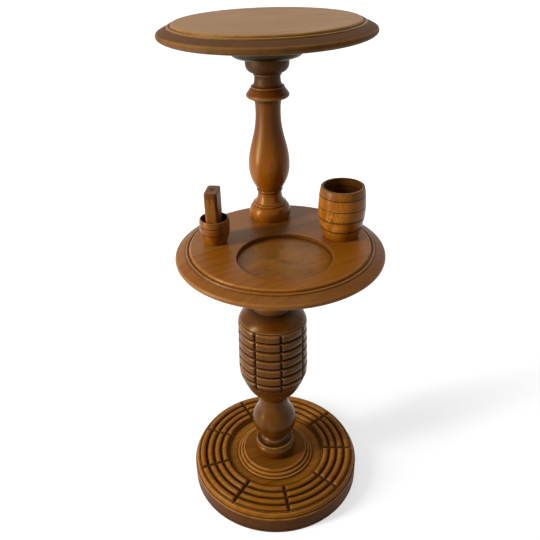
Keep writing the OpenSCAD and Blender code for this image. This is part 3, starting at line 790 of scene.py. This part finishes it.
def add_line(tree, distance, at, near, far, strength=1.0):
    """A line where a distance has a given value, which fades out from near to far of it."""
    gap = add_math(tree, "ABSOLUTE", add_math(tree, "SUBTRACT", distance, at), 0)
    return add_range(tree, gap, near, far, strength, 0.0)


def add_lines(tree, distance, lines):
    """The stronger of several lines, each given by its place and its half width."""
    total = None
    for at, breadth in lines:
        line = add_line(tree, distance, at, 0.0, breadth)
        total = line if total is None else add_math(tree, "MAXIMUM", total, line)
    return total


# Dark wax and painted shade in the two quirks of the moulding, its rubbed edges with painted
# highlights, and painted shade on the outer band. Both boards share them, and the undersides have none.
quirks, given, made = node_group(
    "waxed_and_shaded_quirks",
    [
        ("Vector", "NodeSocketVector", None),
        ("Radius", "NodeSocketFloat", 0.12),
        ("Underside", "NodeSocketFloat", 0.0),
    ],
    [("Mask", "NodeSocketFloat"), ("Rubbed_and_lit", "NodeSocketFloat"), ("Band_shade", "NodeSocketFloat")],
)
from_axis = add_length(quirks, add_stretch(quirks, given.outputs["Vector"], in_plan))
from_rim = add_math(quirks, "SUBTRACT", given.outputs["Radius"], from_axis)
height = add_split(quirks, given.outputs["Vector"])["Z"]
height = add_math(quirks, "SUBTRACT", height, given.outputs["Underside"])
above = add_range(quirks, height, 0.0002, 0.0012)
band_shade = add_range(quirks, from_rim, 0.0112, 0.0125, 1.0, 0.0)
for label, mask in (
    ("Mask", add_lines(quirks, from_rim, quirk_lines)),
    ("Rubbed_and_lit", add_lines(quirks, from_rim, rubbed_and_lit_lines)),
    ("Band_shade", band_shade),
):
    quirks.links.new(add_math(quirks, "MULTIPLY", mask, above), made.inputs[label])


def board_wood(name, node, centre, pith, deep, pale, figure, polished, dull, band_shade):
    """Board stock with its grain across the stand, waxed quirks in painted shade, painted highlights on
    its arrises and painted shade on the outer slope of its moulding.
    """
    low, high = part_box(node)
    heart = [a + b for a, b in zip(centre, pith)]
    material = stained_wood(
        name, heart, (0, math.radians(90), board_grain), deep, pale,
        figure=figure, pores=0.45, rubbing_and_highlight=0.35, polished=polished, dull=dull, fine=2.2,
    )
    tree = material.node_tree
    place = tree.nodes.new("ShaderNodeTexCoord").outputs["Object"]
    on_board = add_place(tree, place, (centre[0], centre[1], 0))
    quirk_marks = tree.nodes.new("ShaderNodeGroup")
    quirk_marks.node_tree = quirks
    quirk_marks.inputs["Radius"].default_value = (high[0] - low[0]) / 2
    quirk_marks.inputs["Underside"].default_value = low[2]
    tree.links.new(on_board, quirk_marks.inputs["Vector"])
    use = tree.nodes["use"]
    tree.links.new(quirk_marks.outputs["Mask"], use.inputs["Hollow"])
    tree.links.new(quirk_marks.outputs["Rubbed_and_lit"], use.inputs["Proud"])
    tree.links.new(add_math(tree, "MULTIPLY", quirk_marks.outputs["Band_shade"], band_shade), use.inputs["Stain_and_shade"])
    return material, on_board


shelf_wood, on_shelf = board_wood(
    "shelf_wood", "shelf", (shelf_x, shelf_y, shelf_height), (0.0, 0.11, -0.03), shelf_deep, shelf_pale,
    figure=0.6, polished=0.32, dull=0.40, band_shade=0.35,
)
tree = shelf_wood.node_tree
use = tree.nodes["use"]
grain_colour = use.inputs["Color"].links[0].from_socket
flat = add_stretch(tree, add_place(tree, on_shelf, (0, -recess_forward, 0)), in_plan)
from_centre = add_length(tree, flat)
recess_floor = shelf_low[2] + recess_over_underside
above = add_range(tree, add_split(tree, on_shelf)["Z"], recess_floor - 0.004, recess_floor)
inside = add_range(tree, from_centre, recess_radius - 0.0012, recess_radius, 1.0, 0.0)
inside = add_math(tree, "MULTIPLY", inside, above)

# Wax and painted shade lie along the foot of the recess wall, and its lip is rubbed and carries a
# painted highlight.
for label, line in (
    ("Hollow", add_line(tree, from_centre, recess_radius - 0.0006, 0.0003, 0.0012, 0.9)),
    ("Proud", add_line(tree, from_centre, recess_radius + 0.0011, 0.0, 0.0010, 0.8)),
):
    moulding = use.inputs[label].links[0].from_socket
    line = add_math(tree, "MULTIPLY", line, above)
    tree.links.new(add_math(tree, "MAXIMUM", moulding, line), use.inputs[label])

# The middle of the recess has faded, and dark blots and flecks lie over it.
# Painted shade darkens the recess towards its wall, and joins the dark blots.
corner_shade = add_range(tree, from_centre, recess_radius - 0.010, recess_radius - 0.0005, 0.0, 0.6)
corner_shade = add_math(tree, "MULTIPLY", corner_shade, inside)
blots = add_range(tree, add_noise(tree, on_shelf, 42, 5, 0.65, 0.4), 0.40, 0.63)
flecks = add_range(tree, add_noise(tree, on_shelf, 420, 3, 0.7), 0.46, 0.62)
flecks = add_math(tree, "ADD", add_math(tree, "MULTIPLY", flecks, 0.7), 0.45)
blots = add_math(tree, "MULTIPLY", blots, flecks)
mottle_and_shade = add_math(tree, "MULTIPLY", add_math(tree, "MULTIPLY", blots, 0.72), inside)
mottle_and_shade = add_math(tree, "MAXIMUM", mottle_and_shade, corner_shade)
oval = add_place(tree, flat, (0.002, 0.004, 0), size=(0.052, 0.036, 1))
fading = add_range(tree, add_length(tree, oval), 0.35, 1.25, 0.55, 0.08)
faded = add_mix(tree, add_math(tree, "MULTIPLY", inside, fading), grain_colour, faded_wood)
stained = add_mix(tree, mottle_and_shade, faded, scorched_and_shaded_wood)

# The planks meet in one open glue line; the plank behind it is paler, partly in its own tone and partly
# as painted sheen on the back of the shelf.
joint = add_place(tree, on_shelf, glue_line_point, turn=(0, 0, glue_line_turn))
behind = add_split(tree, joint)["Y"]
line = add_math(tree, "MULTIPLY", add_line(tree, behind, 0.0, 0.00025, 0.0008), 0.65)
line = add_math(tree, "MULTIPLY", line, add_math(tree, "SUBTRACT", 1.0, inside))
plank_tone_and_light = add_math(tree, "MULTIPLY", add_range(tree, behind, -0.0002, 0.0002), 0.30)
planks_and_light = add_mix(tree, plank_tone_and_light, stained, paler_plank_and_light)
tree.links.new(add_mix(tree, line, planks_and_light, open_glue_line), use.inputs["Color"])

finish_piece(weld_copy("shelf", board_crease), "moulded_shelf", "shelf", shelf_wood)


# ---------------------------------------------------------------- dowel
# A plain beech dowel, bought as rod and left unstained, is glued into both columns and
# ties them together through the shelf. It is hidden.

beech_deep = (0.42, 0.27, 0.14, 1)
beech_pale = (0.60, 0.43, 0.26, 1)

raw_beech = stained_wood(
    "raw_beech", (0.03, 0, 0), (0, 0, 0), beech_deep, beech_pale, grime_and_shade=0.2, rubbing_and_highlight=0.1, polished=0.6
)
bm = weld_copy("shelf_dowel", board_crease)
finish_piece(bm, "hidden_dowel", "shelf_dowel", raw_beech)


# ---------------------------------------------------------------- upper column
# The upper column is a slender baluster of stained beech: foot bead, cove, vase, sharp
# collar and a bowl-shaped cap, turned in one piece with its tenon.

upper_deep = (0.112, 0.0250, 0.0008, 1)
upper_pale = (0.295, 0.0860, 0.0026, 1)
upper_turns = 128
section_turn = math.radians(17)

upper_wood = stained_wood(
    "upper_column_wood", (-0.03, 0.045, 0.0), (-0.02, 0.02, 0.0), upper_deep, upper_pale, pores=0.4
)
bm = half_section("upper_column", section_turn)
ease_arrises(bm, arris, arris_angle)
divide_outline(bm, span=0.003, above=0.47)
mark_relief(bm)
turn_piece(bm, upper_turns)


def upper_painted_shade(point):
    """The vase darkens towards its neck and the cap further: painted shade under the table top."""
    return 0.60 * smooth_step(point.z, 0.53, 0.59) + 0.38 * smooth_step(point.z, 0.625, 0.640)


stain_and_shade_zone(bm, upper_painted_shade)
finish_piece(bm, "baluster_column", "upper_column", upper_wood)


# ---------------------------------------------------------------- flange
# A bowl-edged flange of dark stained wood, painted nearly black as shade under the table top,
# is glued on the column's tenon, and four countersunk wood screws go up through it into the table top.

flange_deep = (0.008, 0.0035, 0.002, 1)
flange_pale = (0.020, 0.008, 0.0035, 1)

flange_wood = stained_wood(
    "flange_wood", (0, 0.02, 0), (0, math.radians(90), 0.3), flange_deep, flange_pale,
    pores=0.3, polished=0.32, dull=0.42,
)
bm = weld_copy("top_flange", board_crease)
finish_piece(bm, "dark_flange", "top_flange", flange_wood)
bm = weld_copy("flange_screws", screw_crease)
finish_piece(bm, "flange_wood_screws", "flange_screws", zinc)


# ---------------------------------------------------------------- table top
# The small table top is a beech board, moulded like the shelf and screwed to the
# flange. Its lacquer has gone flat and pale where things have stood on it.

top_deep = (0.130, 0.050, 0.0045, 1)
top_pale = (0.250, 0.110, 0.0140, 1)

# The table top's outer band carries strong painted shade.
top_wood, _ = board_wood(
    "top_wood", "table_top", (0, 0, 0.7), (0.0, 0.09, -0.04), top_deep, top_pale,
    figure=0.8, polished=0.46, dull=0.52, band_shade=0.86,
)
finish_piece(weld_copy("table_top", board_crease), "moulded_top", "table_top", top_wood)


# ---------------------------------------------------------------- cigarette barrel
# A bulging cup like a small keg, turned in beech, with four scored hoop lines, a dark
# bore and pale rubbed marks on its front. One screw from below holds it.

keg_deep = (0.125, 0.0290, 0.0012, 1)
keg_pale = (0.400, 0.1300, 0.0064, 1)
rubbed_pale = (0.600, 0.270, 0.0500, 1)
cup_turns = 128
cup_arris_angle = math.radians(40)
keg_low, keg_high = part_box("cigarette_barrel")
keg_centre = ((keg_low[0] + keg_high[0]) / 2, (keg_low[1] + keg_high[1]) / 2)
keg_bore = 0.0216
keg_floor = 0.47
keg_hoops = (0.205, 0.42, 0.635, 0.85)
over_shelf = 0.4636

keg_wood = stained_wood(
    "keg_wood", (keg_centre[0] + 0.02, keg_centre[1] + 0.03, 0), (0, 0.03, 0), keg_deep, keg_pale,
    figure=0.9, pores=0.4, grime_and_shade=0.95,
)
tree = keg_wood.node_tree
place = tree.nodes.new("ShaderNodeTexCoord").outputs["Object"]
rub_point = (keg_centre[0] - 0.013, keg_centre[1] - 0.022, keg_low[2] + 0.026)
front = add_place(tree, place, rub_point, size=(0.016, 0.016, 0.021))
scuffs = add_range(tree, add_noise(tree, place, 260, 4, 0.7, 1.5), 0.47, 0.60)
patch = add_range(tree, add_length(tree, front), 0.45, 1.1, 0.55, 0.0)
scuffs = add_math(tree, "MULTIPLY", scuffs, patch)
use = tree.nodes["use"]
grain_colour = use.inputs["Color"].links[0].from_socket
tree.links.new(add_mix(tree, scuffs, grain_colour, rubbed_pale), use.inputs["Color"])


def mark_scores(bm, low, high, shares):
    """Fills the scored lines, at some shares of a cup's height, with dark waxed filling and painted
    shade.
    """
    levels = [low[2] + share * (high[2] - low[2]) for share in shares]
    hollow, proud = (bm.verts.layers.float[name] for name in ("hollow", "proud"))
    for vert in bm.verts:
        off = min(abs(vert.co.z - level) for level in levels)
        if off < 0.0008:
            vert[hollow] = 1 if off < 0.0003 else 0.75
            vert[proud] = 0


def keg_shade_and_rim(point):
    """The bore and the foot are darkened with painted shade, and the neck and the rim are a little
    darker than the belly.
    """
    if (point.xy - Vector(keg_centre)).length < keg_bore + 0.0006 and point.z > keg_floor:
        return 0.84
    neck = 0.35 * smooth_step(point.z, keg_high[2] - 0.0100, keg_high[2] - 0.0085)
    rim = 0.3 * smooth_step(point.z, keg_high[2] - 0.003, keg_high[2])
    foot = 0.3 * smooth_step(keg_low[2] + 0.022 - point.z, 0.0, 0.02)
    return neck + rim + foot


bm = half_section("cigarette_barrel", section_turn, keg_centre)
ease_arrises(bm, arris, cup_arris_angle)
divide_outline(bm, span=0.002, above=over_shelf)
mark_relief(bm, keg_centre, close=0.0008)
turn_piece(bm, cup_turns, keg_centre)
stain_and_shade_zone(bm, keg_shade_and_rim)
mark_scores(bm, keg_low, keg_high, keg_hoops)
finish_piece(bm, "cigarette_keg", "cigarette_barrel", keg_wood)
finish_piece(weld_copy("barrel_screw", screw_crease), "keg_screw", "barrel_screw", zinc)


# ---------------------------------------------------------------- match holder
# A small bellied cup, turned in beech, catches the matches round a flat post, over
# which a matchbox sleeve slides. One long screw holds cup and post to the shelf.

match_deep = (0.106, 0.0245, 0.0012, 1)
match_pale = (0.270, 0.0810, 0.0040, 1)
post_deep = (0.042, 0.0100, 0.0006, 1)
post_pale = (0.215, 0.0660, 0.0038, 1)
match_low, match_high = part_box("match_cup")
match_centre = ((match_low[0] + match_high[0]) / 2, (match_low[1] + match_high[1]) / 2)
match_middle = Vector(match_centre)
match_bore = 0.0157
match_floor = 0.4772
match_scores = (0.46, 0.74)
post_round = 0.0016
post_hole = 0.0013

match_heart = (match_centre[0] + 0.02, match_centre[1] + 0.02, 0)
post_heart = (match_centre[0] + 0.004, match_centre[1] - 0.02, 0)

match_wood = stained_wood(
    "match_wood", match_heart, (0, -0.02, 0), match_deep, match_pale, figure=0.9, grime_and_shade=0.8
)


def match_shade_and_rim(point):
    """The inside of the cup is darkened with painted shade, and its rim is darker than the belly."""
    if (point.xy - match_middle).length < match_bore and point.z > match_floor:
        return 0.6
    return 0.45 * smooth_step(point.z, match_high[2] - 0.004, match_high[2])


bm = half_section("match_cup", section_turn, match_centre)
ease_arrises(bm, arris, cup_arris_angle)
divide_outline(bm, span=0.0016, above=over_shelf)
mark_relief(bm, match_centre, close=0.0008)
turn_piece(bm, cup_turns, match_centre)
stain_and_shade_zone(bm, match_shade_and_rim)
mark_scores(bm, match_low, match_high, match_scores)
finish_piece(bm, "match_cup_turning", "match_cup", match_wood)

post_wood = stained_wood(
    "post_wood", post_heart, (0.05, -0.04, 0), post_deep, post_pale,
    figure=1.4, pores=0.6, rubbing_and_highlight=0.3, polished=0.36, dull=0.46,
)
bm = weld_copy("matchbox_post", board_crease)
post_top = max(v.co.z for v in bm.verts)
bmesh.ops.dissolve_limit(bm, angle_limit=math.radians(1), verts=bm.verts, edges=bm.edges)
rim = []
for edge in bm.edges:
    on_top = all(abs(v.co.z - post_top) < 1e-5 for v in edge.verts)
    off_hole = all((v.co.xy - match_middle).length > 0.003 for v in edge.verts)
    sharp = len(edge.link_faces) == 2 and edge.calc_face_angle(0) > math.radians(50)
    if on_top and off_hole and sharp:
        rim.append(edge)
bmesh.ops.bevel(
    bm,
    geom=rim,
    affect="EDGES",
    offset=post_round,
    segments=4,
    profile=0.5,
    material=-1,
    clamp_overlap=True,
)
for edge in bm.edges:
    edge.smooth = len(edge.link_faces) == 2 and edge.calc_face_angle(0) < math.radians(40)
for name in ("hollow", "proud", "stain_and_shade"):
    bm.verts.layers.float.new(name)
hollow, proud = (bm.verts.layers.float[name] for name in ("hollow", "proud"))
# The screw hole is darkened with painted shade, and the top face is made paler.
for vert in bm.verts:
    if (vert.co.xy - match_middle).length < post_hole and vert.co.z > post_top - 0.006:
        vert[hollow] = 1
    elif vert.co.z > post_top - 0.0003:
        vert[proud] = 0.7
finish_piece(bm, "match_post", "matchbox_post", post_wood)
finish_piece(weld_copy("match_screw", screw_crease), "post_screw", "match_screw", zinc)
